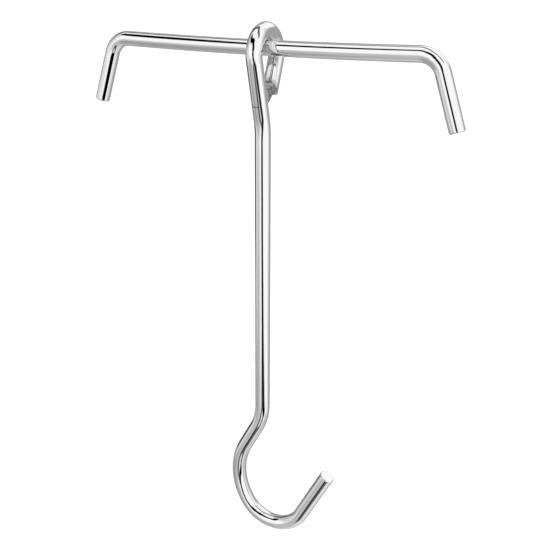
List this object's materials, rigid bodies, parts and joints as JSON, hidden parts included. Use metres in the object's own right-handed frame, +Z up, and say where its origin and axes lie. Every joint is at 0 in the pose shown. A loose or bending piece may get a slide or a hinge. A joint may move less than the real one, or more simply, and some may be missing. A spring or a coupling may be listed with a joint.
{
  "type": "meat hook",
  "caption": "Meat hook with a long shank, an open bight and a welded eye that swings on a short crossbar with two bent-down ends, for hanging cuts from rails or a rack.",
  "frame": {"origin": "centre of the crossbar, on its axis", "axes": "+X along the crossbar, towards the side the bight opens to; +Y away from the eye's front strand; +Z up, against gravity, with the hook hanging down"},
  "size_m": [0.2016, 0.0298, 0.2776],
  "materials": {
    "crossbar_steel": "polished stainless steel",
    "hook_steel": "polished stainless steel",
    "weld_metal": "rough, dark weld bead"
  },
  "bodies": {
    "crossbar": {"crossbar": "crossbar_steel"},
    "hook": {"hook": "hook_steel", "eye_weld": "weld_metal"}
  },
  "joints": [
    {"name": "hook_swing", "type": "hinge", "parent": "crossbar", "child": "hook", "pos_m": [0.002, 0, 0], "axis": [1, 0, 0], "continuous": true}
  ]
}
